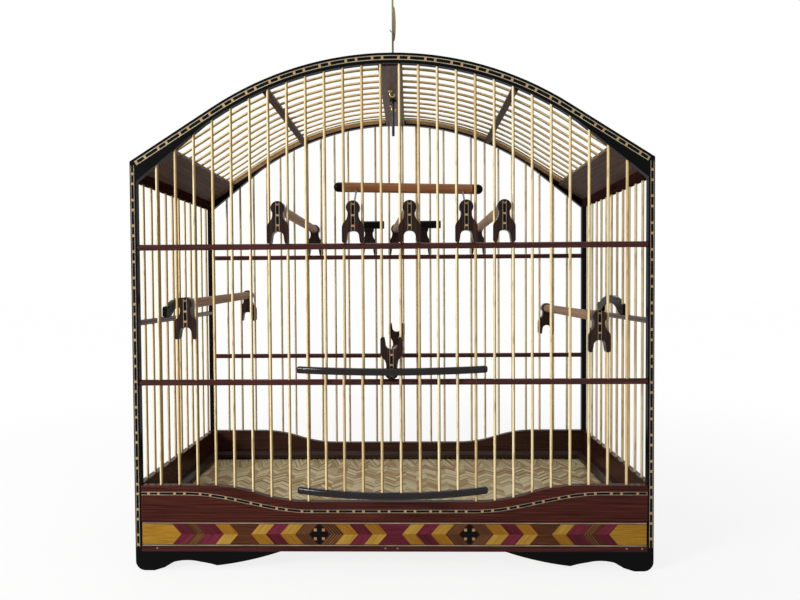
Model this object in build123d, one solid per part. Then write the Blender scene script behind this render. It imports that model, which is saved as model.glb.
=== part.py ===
from build123d import *
import math
import os

# Songbird cage of lacquered wood and bamboo wire, with an arched roof, a lifting
# wire door, a floor drawer with a straw mat, clip-on perches and a hanging hook.
# Millimetres, +Z up. The front is at -Y, and the feet stand at Z = 0.

# Frame
cage_width = 500.0
frame_depth = 224.0
cage_height = 496.0
post_size = 6.0
roof_radius = 317.0
roof_slope_deg = 32.4
arch_band = 9.6
gusset_depth = 22.6
gusset_inner_share = 0.728

# Roof boards
roof_setback = 3.0
roof_board = 7.5
ridge_width = 23.4
rib_width = 6.5
rib_place_share = 0.488
eave_width = 44.0

# Bamboo wires
wire_radius = 1.35
wire_pitch = 18.0
wire_fit = 0.05
wire_embed = 5.0
roof_wire_drop = 7.0
post_margin = 2.7

# Rails, placed as shares of the wall between the boards and the arch's ends
rail_radius = 2.9
rail_low_share = 0.3392
rail_high_share = 0.7838
rail_side_share = 0.5358

# Base boards
foot_height = 18.7
strip_height = 6.6
board_low = 48.5
board_side_top = 83.0
board_dip = 16.0
dip_flat_half = 81.0
dip_run = 100.0
side_board_top = 84.0

# Skirting round the floor
skirt_size = 8.0
skirt_lip = 4.0

# Feet
foot_length = 141.4
foot_return = 92.0
foot_round_radius = 9.4
foot_thick = 12.5

# Drawer
drawer_gap = 0.4
drawer_side_gap = 0.6
tray_thick = 4.0
tray_drop = 3.0
tray_rail_width = 8.0
mat_thick = 1.7
mat_edge = 1.0
runner_width = 9.0
runner_height = 5.4

# Brass pins in the front strip
pin_radius = 0.95
pin_length = 5.0
pin_proud = 0.3
pin_place_shares = (-0.915, -0.028, 0.019, 0.897, 0.956)

# Door
door_bow = 13.5
door_bar_depth = 6.4
door_bar_height = 6.8
door_bar_round = 2.2
door_bar_over = 11.0
door_rest_gap = 5.3
door_low_gap = 6.2
door_wire_count = 8
guide_fit = 0.08

# Clip brackets that hold the perches
bracket_height = 40.5
bracket_depth = 8.0
bracket_head = 13.3
bracket_neck = 10.2
bracket_neck_drop = 13.5
bracket_leg = 15.0
bracket_cover = 1.65
bracket_tip_round = 3.0
bracket_tip_flat = 2.0
bracket_gap_top = 11.5
bracket_gap_width = 12.8
bracket_skin = 2.5
bracket_join_deg = 40.0
bracket_wire_gap = 0.35
bracket_flare_shares = ((0.15, 0.3), (0.5, 0.55), (0.9, 0.8))
bracket_gap_shares = ((1.0, 0.13), (0.89, 0.565), (0.64, 0.887))

# Perches
perch_radius = 4.9
side_perch_left_rise = 10.75
side_perch_left_lift = 5.0
side_perch_right_drop = 3.35
tee_bar_radius = 4.9
tee_bar_length = 43.0
tee_reach = 24.0
tee_stub_radius = 3.2
tee_rise = 3.0
high_perch_radius = 5.0
high_perch_rise = 25.1
high_perch_tilt = 3.7
high_perch_back = 45.0
high_perch_centre = 16.7
high_perch_length = 153.0
high_cap_length = 11.0
high_wire_radius = 0.9
high_wire_inset = 2.0

# Arches that sit on the side rails
side_arch_half = 43.0
side_arch_thick = 5.0
side_arch_rise = 19.8
side_arch_leg = 12.0
side_arch_band = 8.0
side_arch_shoulder = 11.0
side_arch_notch = 2.5

# Cup hooks under the ridge
cup_wire_radius = 0.9
cup_flange_radius = 2.6
cup_flange_thick = 1.1
cup_shank = 3.4
cup_curl = 2.3
cup_offset = 2.2
cup_screw = 4.0

# Hanger
bolt_radius = 1.6
bolt_fit = 0.08
bolt_below = 40.0
bolt_above = 7.0
collar_radius = 3.8
collar_height = 2.4
collar_gap = 0.3
hang_wire_radius = 1.1
hang_straight = 106.0
hang_hook_radius = 14.0
strand_low = 53.0
strand_length = 34.0

# Places worked out from the sizes above
half_width = cage_width / 2
inner_half = half_width - post_size
bow_reach = door_bow + door_bar_depth / 2 - post_size / 2
clip_reach = bracket_depth / 2 - post_size / 2
mid_y = (bow_reach - clip_reach) / 2
front_y = mid_y - frame_depth / 2
back_y = mid_y + frame_depth / 2
inner_front = front_y + post_size
inner_back = back_y - post_size
wire_front_y = front_y + post_size / 2
wire_back_y = back_y - post_size / 2
wire_side_x = half_width - post_size / 2
roof_centre_z = cage_height - roof_radius
slope = math.radians(roof_slope_deg)
strip_top = foot_height + strip_height
board_mid_top = board_side_top - board_dip
roof_low = roof_setback + roof_board
roof_under_z = cage_height - roof_low
door_bar_lower_z = board_mid_top + door_low_gap + door_bar_height / 2
gusset_inner_x = inner_half * gusset_inner_share
rib_x = half_width * rib_place_share


def half_count(half_length):
    return int((half_length - post_margin + wire_pitch / 2) // wire_pitch)


def pitch_places(half_length):
    n = half_count(half_length)
    return [(k - n + 0.5) * wire_pitch for k in range(2 * n)]


def centred_places(half_length):
    n = int((half_length - post_margin) // wire_pitch)
    return [(k - n) * wire_pitch for k in range(2 * n + 1)]


front_places = pitch_places(inner_half)
side_places = [mid_y + v for v in centred_places(frame_depth / 2 - post_size)]


def slab(x0, x1, y0, y1, z0, z1):
    low = (Align.MIN, Align.MIN, Align.MIN)
    return Pos(x0, y0, z0) * Box(x1 - x0, y1 - y0, z1 - z0, align=low)


def rod_z(x, y, z0, z1, radius):
    low = (Align.CENTER, Align.CENTER, Align.MIN)
    return Pos(x, y, z0) * Cylinder(radius, z1 - z0, align=low)


def rod_between(a, b, radius):
    start, end = Vector(a), Vector(b)
    plane = Plane(origin=start, z_dir=end - start)
    return Solid.make_cylinder(radius, (end - start).length, plane)


# An outline in the XZ plane. A step is the next point, or a point passed and the next point.
def outline_edges(points, y):
    edges = []
    here = points[0]
    for step in points[1:]:
        if isinstance(step[0], tuple):
            via, end = step
            edges.append(ThreePointArc((here[0], y, here[1]), (via[0], y, via[1]), (end[0], y, end[1])))
            here = end
        else:
            edges.append(Line((here[0], y, here[1]), (step[0], y, step[1])))
            here = step
    if (here[0] - points[0][0]) ** 2 + (here[1] - points[0][1]) ** 2 > 0:
        edges.append(Line((here[0], y, here[1]), (points[0][0], y, points[0][1])))
    return edges


def plate_y(points, y0, y1):
    face = Face(Wire(outline_edges(points, y0)))
    return Solid.extrude(face, Vector(0, y1 - y0, 0))


# The same outline, drawn in the YZ plane and extruded along X.
def plate_x(points, x0, x1):
    turned = plate_y(points, 0, x1 - x0)
    return Pos(x1, 0, 0) * (Rot(0, 0, 90) * turned)


def mirror_x(shape):
    return shape.mirror(Plane.YZ)


def flip_y(shape):
    return Pos(0, 2 * mid_y, 0) * shape.mirror(Plane.XZ)


def cut(shape, tools):
    tools = list(tools)
    return solid_of(shape.cut(*tools)) if tools else shape


def solid_of(shape):
    found = shape.solids() if not isinstance(shape, (list, ShapeList)) else shape
    found = sorted(found, key=lambda s: s.volume)
    return found[-1]


def swept(path, radius):
    section = Plane(origin=path @ 0, z_dir=path % 0) * Circle(radius)
    return solid_of(Solid.sweep(section.face(), path))


# Height of the roof's outline, at a depth measured square to it.
def roof_z(x, depth):
    r = roof_radius - depth
    x = abs(x)
    if x <= r * math.sin(slope):
        return roof_centre_z + math.sqrt(r * r - x * x)
    return roof_centre_z + r * math.cos(slope) - (x - r * math.sin(slope)) * math.tan(slope)


# Heights along the walls
gusset_low = roof_z(inner_half, 0) - gusset_depth
wall_height = gusset_low - board_side_top
rail_low_z = board_side_top + wall_height * rail_low_share
rail_high_z = board_side_top + wall_height * rail_high_share
rail_side_z = board_side_top + wall_height * rail_side_share
rail_low_top = rail_low_z + rail_radius
rail_high_top = rail_high_z + rail_radius
door_bar_upper_z = rail_low_top + door_rest_gap + door_bar_height / 2


def roof_break(depth):
    r = roof_radius - depth
    return r * math.sin(slope), roof_centre_z + r * math.cos(slope)


# Underside of the arch boards, where the wires end.
def arch_under_z(x):
    gusset_z = roof_z(gusset_inner_x, arch_band)
    if abs(x) <= gusset_inner_x:
        return roof_z(x, arch_band)
    share = (abs(x) - gusset_inner_x) / (inner_half - gusset_inner_x)
    return gusset_z + (gusset_low - gusset_z) * share


# Top of the front and back boards, a flat middle joined to the sides by two arcs.
def dip_radius():
    return (dip_run ** 2 / 4 + board_dip ** 2 / 4) / board_dip


def board_top_z(x):
    x = abs(x)
    r = dip_radius()
    if x <= dip_flat_half:
        return board_mid_top
    if x <= dip_flat_half + dip_run / 2:
        return board_mid_top + r - math.sqrt(r * r - (x - dip_flat_half) ** 2)
    if x <= dip_flat_half + dip_run:
        return board_side_top - r + math.sqrt(r * r - (dip_flat_half + dip_run - x) ** 2)
    return board_side_top


def board_top_steps():
    turn = dip_flat_half + dip_run / 2
    far = dip_flat_half + dip_run
    low_via = dip_flat_half + dip_run / 4
    high_via = far - dip_run / 4
    half_z = board_mid_top + board_dip / 2
    return [
        (-inner_half, board_side_top),
        (-far, board_side_top),
        ((-high_via, board_top_z(high_via)), (-turn, half_z)),
        ((-low_via, board_top_z(low_via)), (-dip_flat_half, board_mid_top)),
        (dip_flat_half, board_mid_top),
        ((low_via, board_top_z(low_via)), (turn, half_z)),
        ((high_via, board_top_z(high_via)), (far, board_side_top)),
        (inner_half, board_side_top),
    ]


# Wires, as rows of x, y, bottom and top

door_span = wire_pitch * (door_wire_count + 1) / 2


def is_door_place(x):
    return abs(x) < door_span - wire_pitch / 2


def long_wire(x, y):
    return (x, y, board_top_z(x) - wire_embed, arch_under_z(x) + wire_embed)


def short_wire(x, y):
    return (x, y, rail_low_z, arch_under_z(x) + wire_embed)


def rods(rows, extra):
    return [rod_z(x, y, z0, z1, wire_radius + extra) for x, y, z0, z1 in rows]


front_left_rows = [long_wire(x, wire_front_y) for x in front_places if x < 0 and not is_door_place(x)]
front_right_rows = [long_wire(x, wire_front_y) for x in front_places if x > 0 and not is_door_place(x)]
front_centre_rows = [short_wire(x, wire_front_y) for x in front_places if is_door_place(x)]
back_rows = [long_wire(x, wire_back_y) for x in front_places]
side_wire_top = gusset_low + wire_embed


def side_rows(x):
    return [(x, y, side_board_top - wire_embed, side_wire_top) for y in side_places]


left_rows = side_rows(-wire_side_x)
right_rows = side_rows(wire_side_x)
front_rows = front_left_rows + front_centre_rows + front_right_rows


# Frame pieces

def post(x0, x1, y0):
    if x0 < 0:
        outer, inner = x0, x1
    else:
        outer, inner = x1, x0
    points = [
        (inner, foot_height),
        (outer, foot_height),
        (outer, roof_z(outer, 0)),
        (inner, roof_z(inner, 0)),
    ]
    return plate_y(points, y0, y0 + post_size)


def posts():
    made = []
    for y0 in (front_y, inner_back):
        made.append(post(-half_width, -inner_half, y0))
        made.append(post(inner_half, half_width, y0))
    return made


def arch(y0, rows):
    bx, bz = roof_break(0)
    gz = roof_z(gusset_inner_x, arch_band)
    points = [
        (-inner_half, roof_z(inner_half, 0)),
        (-bx, bz),
        ((0, cage_height), (bx, bz)),
        (inner_half, roof_z(inner_half, 0)),
        (inner_half, gusset_low),
        (gusset_inner_x, gz),
        ((0, cage_height - arch_band), (-gusset_inner_x, gz)),
        (-inner_half, gusset_low),
    ]
    return cut(plate_y(points, y0, y0 + post_size), rods(rows, wire_fit))


def base_board(y0, low, rows):
    points = [(inner_half, low), (-inner_half, low)] + board_top_steps()
    return cut(plate_y(points, y0, y0 + post_size), rods(rows, wire_fit))


def side_board(x0, rows):
    body = slab(x0, x0 + post_size, inner_front, inner_back, strip_top, side_board_top)
    return cut(body, rods(rows, wire_fit))


def side_top_board(sign, rows):
    points = [
        (sign * inner_half, gusset_low),
        (sign * half_width, gusset_low),
        (sign * half_width, roof_z(half_width, roof_low)),
        (sign * inner_half, roof_z(inner_half, roof_low)),
    ]
    return cut(plate_y(points, inner_front, inner_back), rods(rows, wire_fit))


def rail_x(y, z, rows):
    body = rod_between((-inner_half, y, z), (inner_half, y, z), rail_radius)
    return cut(body, rods(rows, wire_fit))


def rail_y(x, z, rows):
    body = rod_between((x, inner_front, z), (x, inner_back, z), rail_radius)
    return cut(body, rods(rows, wire_fit))


# Roof

def eave_start():
    far = half_width - eave_width * math.cos(slope)
    return far, roof_z(far, roof_low)


def roof_wire(y, extra):
    depth = roof_wire_drop
    r = roof_radius - depth
    start_x = ridge_width / 2 - wire_embed
    end_x = eave_start()[0] + wire_embed
    bx, bz = roof_break(depth)
    half_angle = (math.asin(start_x / r) + slope) / 2
    via = (r * math.sin(half_angle), y, roof_centre_z + r * math.cos(half_angle))
    arc = ThreePointArc((start_x, y, roof_z(start_x, depth)), via, (bx, y, bz))
    line = Line((bx, y, bz), (end_x, y, roof_z(end_x, depth)))
    return swept(Wire([arc, line]), wire_radius + extra)


def ridge_board(holes):
    top = roof_under_z + roof_board
    body = slab(-ridge_width / 2, ridge_width / 2, inner_front, inner_back, roof_under_z, top)
    return cut(body, holes)


def rib(holes):
    r_out = roof_radius - roof_setback
    r_in = roof_radius - roof_low
    turn = math.asin(rib_x / r_out)
    half_turn = rib_width / 2 / r_out
    low, high = turn - half_turn, turn + half_turn
    points = []
    for r, a in ((r_out, low), (r_out, high), (r_in, high), (r_in, low)):
        points.append((r * math.sin(a), roof_centre_z + r * math.cos(a)))
    return cut(plate_y(points, inner_front, inner_back), holes)


def eave_board(holes):
    x_in, z_in = eave_start()
    top_x = x_in + roof_board * math.sin(slope)
    points = [
        (x_in, z_in),
        (top_x, z_in + roof_board * math.cos(slope)),
        (half_width, roof_z(half_width, roof_setback)),
        (half_width, roof_z(half_width, roof_low)),
    ]
    return cut(plate_y(points, inner_front, inner_back), holes)


# Base

def base_strip_x(y0, holes):
    return cut(slab(-inner_half, inner_half, y0, y0 + post_size, foot_height, strip_top), holes)


def base_strip_y(x0):
    return slab(x0, x0 + post_size, inner_front, inner_back, foot_height, strip_top)


def skirt_x(y0, sign):
    flat = skirt_size - skirt_lip
    y1 = y0 + sign * skirt_size
    points = [
        (y0, board_low),
        (y1, board_low),
        (y1, board_low + flat),
        (y0 + sign * flat, board_low + skirt_size),
        (y0, board_low + skirt_size),
    ]
    return plate_x(points, -inner_half, inner_half)


def skirt_y(sign):
    flat = skirt_size - skirt_lip
    x0 = sign * inner_half
    points = [
        (x0, board_low),
        (x0 - sign * skirt_size, board_low),
        (x0 - sign * skirt_size, board_low + flat),
        (x0 - sign * flat, board_low + skirt_size),
        (x0, board_low + skirt_size),
    ]
    return plate_y(points, inner_front + skirt_size, inner_back - skirt_size)


# One side of a foot as shares of its length and height, from the corner inwards.
foot_line_shares = (
    ((0.13, 0.0), None),
    ((0.20, 0.165), None),
    ((0.262, 0.44), None),
    ((0.345, 0.535), (0.445, 0.455)),
    ((0.515, 0.36), (0.562, 0.265)),
    ((0.70, 0.42), (1.0, 1.0)),
)


def foot_toe():
    middle = foot_round_radius * (1 - math.cos(math.pi / 4))
    return [
        (0, foot_height),
        (0, foot_round_radius),
        ((middle, middle), (foot_round_radius, 0)),
    ]


def foot_side(length):
    points = foot_toe()
    for via, end in foot_line_shares:
        a = (via[0] * length, via[1] * foot_height)
        if end is None:
            points.append(a)
        else:
            points.append((a, (end[0] * length, end[1] * foot_height)))
    return points


def foot_rounding(length):
    return foot_toe() + [(length, 0), (length, foot_height)]


def foot():
    long_side = plate_y(foot_side(foot_length), 0, foot_thick)
    short_side = plate_x(foot_side(foot_return), 0, foot_thick)
    both = long_side.fuse(short_side)
    keep = plate_y(foot_rounding(foot_length), 0, foot_return)
    return Pos(-half_width, front_y, 0) * solid_of(both.intersect(keep))


def pin_rows():
    z = foot_height + strip_height / 2
    return [(share * half_width, z) for share in pin_place_shares]


def pin(x, z, extra, proud):
    return rod_between((x, front_y - proud, z), (x, front_y + pin_length, z), pin_radius + extra)


# Drawer

drawer_low = strip_top + drawer_gap
drawer_top = board_low - drawer_gap
tray_top = drawer_top - tray_drop
tray_low = tray_top - tray_thick
tray_half = inner_half - drawer_side_gap
tray_back = inner_back - drawer_side_gap


def drawer_front():
    return slab(-tray_half, tray_half, front_y, inner_front, drawer_low, drawer_top)


def drawer_floor():
    return slab(-tray_half, tray_half, inner_front, tray_back, tray_low, tray_top)


def drawer_side():
    return slab(tray_half - tray_rail_width, tray_half, inner_front, tray_back, drawer_low, tray_low)


def drawer_back():
    far = tray_half - tray_rail_width
    return slab(-far, far, tray_back - tray_rail_width, tray_back, drawer_low, tray_low)


def straw_mat():
    far = tray_half - mat_edge
    return slab(-far, far, inner_front + mat_edge, tray_back - mat_edge, tray_top, tray_top + mat_thick)


def runner():
    low = strip_top - runner_height
    return slab(inner_half - runner_width, inner_half, inner_front, inner_back, low, strip_top)


# Door

def bow_radius():
    return (door_span ** 2 + door_bow ** 2) / (2 * door_bow)


def bow_y(x):
    r = bow_radius()
    return wire_front_y - door_bow + r - math.sqrt(r * r - x * x)


def door_wire_places():
    return [x for x in front_places if is_door_place(x)]


def door_bar(z, holes):
    r = bow_radius()
    centre_y = wire_front_y - door_bow + r
    reach = math.asin((door_span + door_bar_over) / r)
    inner_r = r - door_bar_depth / 2
    outer_r = r + door_bar_depth / 2

    def at(radius, angle):
        return (radius * math.sin(angle), centre_y - radius * math.cos(angle), z - door_bar_height / 2)

    edges = [
        ThreePointArc(at(outer_r, -reach), at(outer_r, 0), at(outer_r, reach)),
        Line(at(outer_r, reach), at(inner_r, reach)),
        ThreePointArc(at(inner_r, reach), at(inner_r, 0), at(inner_r, -reach)),
        Line(at(inner_r, -reach), at(outer_r, -reach)),
    ]
    body = Solid.extrude(Face(Wire(edges)), Vector(0, 0, door_bar_height))
    body = fillet(body.edges(), door_bar_round)
    return cut(solid_of(body), holes)


def door_wire_rows():
    low = door_bar_lower_z - door_bar_height / 2 + door_bar_round
    high = door_bar_upper_z + door_bar_height / 2 - door_bar_round
    return [(x, bow_y(x), low, high) for x in door_wire_places()]


def guide_holes(z):
    rows = [(x, wire_front_y, z - door_bar_height, z + door_bar_height) for x in (-door_span, door_span)]
    return rods(rows, guide_fit)


# Perch brackets, drawn with the legs down and the tips at z = 0

def bracket_outline():
    head_r = bracket_head / 2
    head_z = bracket_height - head_r
    neck_z = bracket_height - bracket_neck_drop
    neck = bracket_neck / 2
    side = wire_pitch / 2 + bracket_cover
    round_share = 1 - math.cos(math.pi / 4)
    join_angle = -math.radians(bracket_join_deg)
    jx, jz = head_r * math.cos(join_angle), head_z + head_r * math.sin(join_angle)
    flares = []
    for x_share, z_share in bracket_flare_shares:
        flares.append((neck + (side - neck) * x_share, neck_z - (neck_z - bracket_leg) * z_share))
    gaps = []
    for x_share, z_share in bracket_gap_shares:
        gaps.append((bracket_gap_width / 2 * x_share, bracket_gap_top * z_share))
    tip = (side - bracket_cover * round_share, bracket_tip_round * round_share)
    right = [
        ((head_r * math.cos(math.pi / 4), head_z + head_r * math.sin(math.pi / 4)), (head_r, head_z)),
        ((head_r * math.cos(join_angle / 2), head_z + head_r * math.sin(join_angle / 2)), (jx, jz)),
        (neck, neck_z),
        (flares[0], flares[1]),
        (flares[2], (side, bracket_leg)),
        (side, bracket_tip_round),
        (tip, (side - bracket_cover, 0)),
        (wire_pitch / 2 - bracket_tip_flat, 0),
        gaps[0],
        gaps[1],
        (gaps[2], (0, bracket_gap_top)),
    ]
    return head_z, right


def bracket_points():
    head_z, right = bracket_outline()
    points = [(0, bracket_height)]
    points += right
    here = (0, bracket_height)
    trail = []
    for step in right:
        via, end = step if isinstance(step[0], tuple) else (None, step)
        trail.append((here, via))
        here = end
    for start, via in reversed(trail):
        end = (-start[0], start[1])
        points.append(end if via is None else ((-via[0], via[1]), end))
    return points


# The outer skin covers the two wires, and the thick part sits between them.
def bracket():
    whole = plate_y(bracket_points(), -bracket_depth / 2, bracket_depth / 2)
    skin_y = -bracket_depth / 2 + bracket_skin
    clear_half = wire_pitch / 2 - wire_radius - bracket_wire_gap
    side = slab(clear_half, wire_pitch, skin_y, bracket_depth, -bracket_depth, bracket_height * 2)
    return solid_of(whole.cut(side, mirror_x(side)))


bracket_shape = bracket()
bracket_turned = Rot(0, 0, 180) * bracket_shape


def bracket_front(x, tip_z):
    return Pos(x, wire_front_y, tip_z) * bracket_shape


def bracket_back(x, tip_z):
    return Pos(x, wire_back_y, tip_z) * bracket_turned


def turned_over(shape, z):
    return Pos(0, 0, 2 * z) * shape.mirror(Plane.XY)


def gap_place(n):
    return n * wire_pitch


bracket_head_z = bracket_height - bracket_head / 2
high_row_z = rail_high_top + bracket_head_z
low_row_z = rail_low_top + bracket_head / 2
perch_start = wire_front_y + bracket_depth / 2
perch_end = wire_back_y - bracket_depth / 2

# Places along the walls as shares of the wire pitch, at the front and at the back
upper_perch_gap_shares = ((-6, -6), (1, 0), (6, 6))
high_perch_gap_shares = (-2, 4)
tee_gap_shares = (-2, 2)
side_perch_in_count = 2
side_perch_x = (half_count(inner_half) - side_perch_in_count) * wire_pitch
rail_mid_z = (rail_low_z + rail_high_z) / 2
side_perch_left_z = rail_mid_z + side_perch_left_rise
side_perch_right_z = rail_mid_z - side_perch_right_drop


# A perch between the heads of a front and a back bracket, each given as x and z
def perch(front, back):
    a, b = Vector(front[0], perch_start, front[1]), Vector(back[0], perch_end, back[1])
    if front == back:
        return rod_between(a, b, perch_radius)
    over = (b - a).normalized() * perch_radius * 2
    far = cage_width
    keep = slab(-far, far, perch_start, perch_end, front[1] - far, front[1] + far)
    return solid_of(rod_between(a - over, b + over, perch_radius).intersect(keep))


def tee_perch(x):
    y_bar = perch_end - tee_reach
    half = tee_bar_length / 2
    z = high_row_z + tee_rise
    bar = rod_between((x - half, y_bar, z), (x + half, y_bar, z), tee_bar_radius)
    stub = rod_between((x, y_bar, z), (x, perch_end, z), tee_stub_radius)
    return solid_of(bar.fuse(stub))


high_perch_y = front_y + high_perch_back
high_perch_z = high_row_z + high_perch_rise


def high_perch_ends():
    half = high_perch_length / 2
    return high_perch_centre - half, high_perch_centre + half


# A point on the high perch's axis, which falls a little to the right
def high_perch_at(x):
    drop = high_perch_tilt * (x - high_perch_centre) / high_perch_length
    return (x, high_perch_y, high_perch_z - drop)


def high_perch(holes):
    x0, x1 = high_perch_ends()
    a, b = high_perch_at(x0 + high_cap_length), high_perch_at(x1 - high_cap_length)
    return cut(rod_between(a, b, high_perch_radius), holes)


def high_cap(sign):
    x0, x1 = high_perch_ends()
    tip = x0 if sign < 0 else x1
    start = high_perch_at(tip - sign * high_cap_length)
    centre = high_perch_at(tip - sign * high_perch_radius)
    body = rod_between(start, centre, high_perch_radius)
    return solid_of(body.fuse(Pos(*centre) * Sphere(high_perch_radius)))


# A bent wire from a bracket's head up to the high perch
def high_wire(x, extra):
    seat = Vector(x, perch_start - high_wire_inset, high_row_z)
    run = Vector(*high_perch_at(x)) - seat
    tip_share = (run.length - high_perch_radius + high_wire_inset) / run.length
    return rod_between(seat, seat + run * tip_share, high_wire_radius + extra)


# Arch standing on a side rail and threaded on the side wires
def side_arch(x, rows):
    z0 = rail_side_z + rail_radius
    yc = mid_y
    half = side_arch_half
    shoulder = side_arch_shoulder
    rise = side_arch_rise
    notch = side_arch_notch
    gap = half - side_arch_leg
    points = [
        (yc - half, z0),
        (yc - half, z0 + shoulder - notch),
        (yc - half + notch, z0 + shoulder),
        (yc - half + notch * 2, z0 + shoulder - notch),
        (yc - half + notch * 3, z0 + shoulder),
        ((yc, z0 + rise), (yc + half - notch * 3, z0 + shoulder)),
        (yc + half - notch * 2, z0 + shoulder - notch),
        (yc + half - notch, z0 + shoulder),
        (yc + half, z0 + shoulder - notch),
        (yc + half, z0),
        (yc + gap, z0),
        ((yc, z0 + rise - side_arch_band), (yc - gap, z0)),
    ]
    body = plate_x(points, x - side_arch_thick / 2, x + side_arch_thick / 2)
    return cut(body, rods(rows, wire_fit))


# Cup hook under the ridge, with its screw in the board
def cup_hook(y):
    neck_z = roof_under_z - cup_flange_thick - cup_shank
    x = -cup_offset
    far_x = x + cup_curl
    side = cup_curl * math.cos(math.pi / 4)
    start, neck = (x, y, roof_under_z + cup_screw), (x, y, neck_z)
    low, end = (far_x, y, neck_z - cup_curl), (far_x + cup_curl, y, neck_z)
    path = Wire(
        [
            Line(start, neck),
            ThreePointArc(neck, (far_x - side, y, neck_z - side), low),
            ThreePointArc(low, (far_x + side, y, neck_z - side), end),
        ]
    )
    wire = swept(path, cup_wire_radius)
    flange = rod_z(x, y, roof_under_z - cup_flange_thick, roof_under_z, cup_flange_radius)
    return solid_of(wire.fuse(flange))


def cup_places():
    return [mid_y - 2 * wire_pitch, mid_y + wire_pitch]


# Hanger

bolt_top = cage_height - roof_setback + collar_gap + collar_height + bolt_above


def hanger_bolt():
    shank = rod_z(0, mid_y, roof_under_z - bolt_below, bolt_top, bolt_radius)
    low_z = roof_under_z - collar_gap - collar_height
    high_z = roof_under_z + roof_board + collar_gap
    collars = [rod_z(0, mid_y, z, z + collar_height, collar_radius) for z in (low_z, high_z)]
    return solid_of(shank.fuse(*collars))


# The hook is drawn from the bolt's top, and ends past its widest point
def hanger_wire():
    top = bolt_top + hang_straight
    r = hang_hook_radius

    def on_hook(angle_deg):
        a = math.radians(angle_deg)
        return (r - r * math.cos(a), mid_y, top + r * math.sin(a))

    path = Wire(
        [
            Line((0, mid_y, bolt_top), on_hook(0)),
            ThreePointArc(on_hook(0), on_hook(45), on_hook(90)),
            ThreePointArc(on_hook(90), on_hook(135), on_hook(180)),
            ThreePointArc(on_hook(180), on_hook(198), on_hook(216)),
        ]
    )
    return swept(path, hang_wire_radius)


def hanger_strand():
    x = 2 * hang_wire_radius
    low = bolt_top + strand_low
    return rod_z(x, mid_y, low, low + strand_length, hang_wire_radius)


# Assembly

def all_nodes():
    roof_wires = [roof_wire(y, 0) for y in side_places]
    roof_holes = [roof_wire(y, wire_fit) for y in side_places]
    roof_holes_left = [mirror_x(h) for h in roof_holes]
    cup_top = roof_under_z + cup_screw
    cup_holes = [rod_z(-cup_offset, y, roof_under_z, cup_top, cup_wire_radius) for y in cup_places()]
    bolt_hole = rod_z(0, mid_y, 0, cage_height * 2, bolt_radius + bolt_fit)
    pins_at = pin_rows()
    door_rows = door_wire_rows()
    door_holes = rods(door_rows, wire_fit)
    high_places = [gap_place(n) for n in high_perch_gap_shares]
    high_holes = [high_wire(x, wire_fit) for x in high_places]
    runner_right = runner()
    side_right = drawer_side()
    foot_front_left = foot()
    rib_right = rib(roof_holes)
    eave_right = eave_board(roof_holes)
    top_right = side_top_board(1, right_rows)
    board_right = side_board(inner_half, right_rows)
    rail_right = rail_y(wire_side_x, rail_side_z, right_rows)
    arch_right = side_arch(wire_side_x, right_rows)
    nodes = {
        "posts": posts(),
        "arch_front": [arch(front_y, front_rows)],
        "arch_back": [arch(inner_back, back_rows)],
        "board_front": [base_board(front_y, board_low, front_left_rows + front_right_rows)],
        "board_back": [base_board(inner_back, strip_top, back_rows)],
        "board_left": [mirror_x(board_right)],
        "board_right": [board_right],
        "strip_front": [base_strip_x(front_y, [pin(x, z, 0, post_size) for x, z in pins_at])],
        "strip_back": [base_strip_x(inner_back, [])],
        "strips_side": [base_strip_y(-half_width), base_strip_y(inner_half)],
        "foot_front_left": [foot_front_left],
        "foot_front_right": [mirror_x(foot_front_left)],
        "foot_back_left": [flip_y(foot_front_left)],
        "foot_back_right": [flip_y(mirror_x(foot_front_left))],
        "pins": [pin(x, z, 0, pin_proud) for x, z in pins_at],
        "skirting_long": [skirt_x(inner_front, 1), skirt_x(inner_back, -1)],
        "skirting_short": [skirt_y(-1), skirt_y(1)],
        "runners": [runner_right, mirror_x(runner_right)],
        "rail_front_upper": [rail_x(wire_front_y, rail_high_z, front_rows)],
        "rail_front_lower": [rail_x(wire_front_y, rail_low_z, front_rows)],
        "rail_back_upper": [rail_x(wire_back_y, rail_high_z, back_rows)],
        "rail_back_lower": [rail_x(wire_back_y, rail_low_z, back_rows)],
        "rail_left": [mirror_x(rail_right)],
        "rail_right": [rail_right],
        "wires_front_left": rods(front_left_rows, 0),
        "wires_front_right": rods(front_right_rows, 0),
        "wires_front_centre": rods(front_centre_rows, 0),
        "wires_back": rods(back_rows, 0),
        "wires_left": rods(left_rows, 0),
        "wires_right": rods(right_rows, 0),
        "roof_wires_right": roof_wires,
        "roof_wires_left": [mirror_x(w) for w in roof_wires],
        "ridge_board": [ridge_board(roof_holes + roof_holes_left + cup_holes + [bolt_hole])],
        "ribs": [rib_right, mirror_x(rib_right)],
        "eave_boards": [eave_right, mirror_x(eave_right)],
        "side_top_boards": [top_right, mirror_x(top_right)],
        "drawer_front": [drawer_front()],
        "drawer_floor": [drawer_floor()],
        "drawer_sides": [side_right, mirror_x(side_right)],
        "drawer_back": [drawer_back()],
        "straw_mat": [straw_mat()],
        "door_bar_upper": [door_bar(door_bar_upper_z, door_holes + guide_holes(door_bar_upper_z))],
        "door_bar_lower": [door_bar(door_bar_lower_z, door_holes + guide_holes(door_bar_lower_z))],
        "door_wires": rods(door_rows, 0),
        "side_arches": [arch_right, mirror_x(arch_right)],
        "cup_hooks": [cup_hook(y) for y in cup_places()],
        "hanger_bolt": [hanger_bolt()],
        "hanger_wire": [hanger_wire()],
        "hanger_strand": [hanger_strand()],
    }
    nodes.update(perch_nodes(high_places, high_holes))
    return nodes


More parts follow.
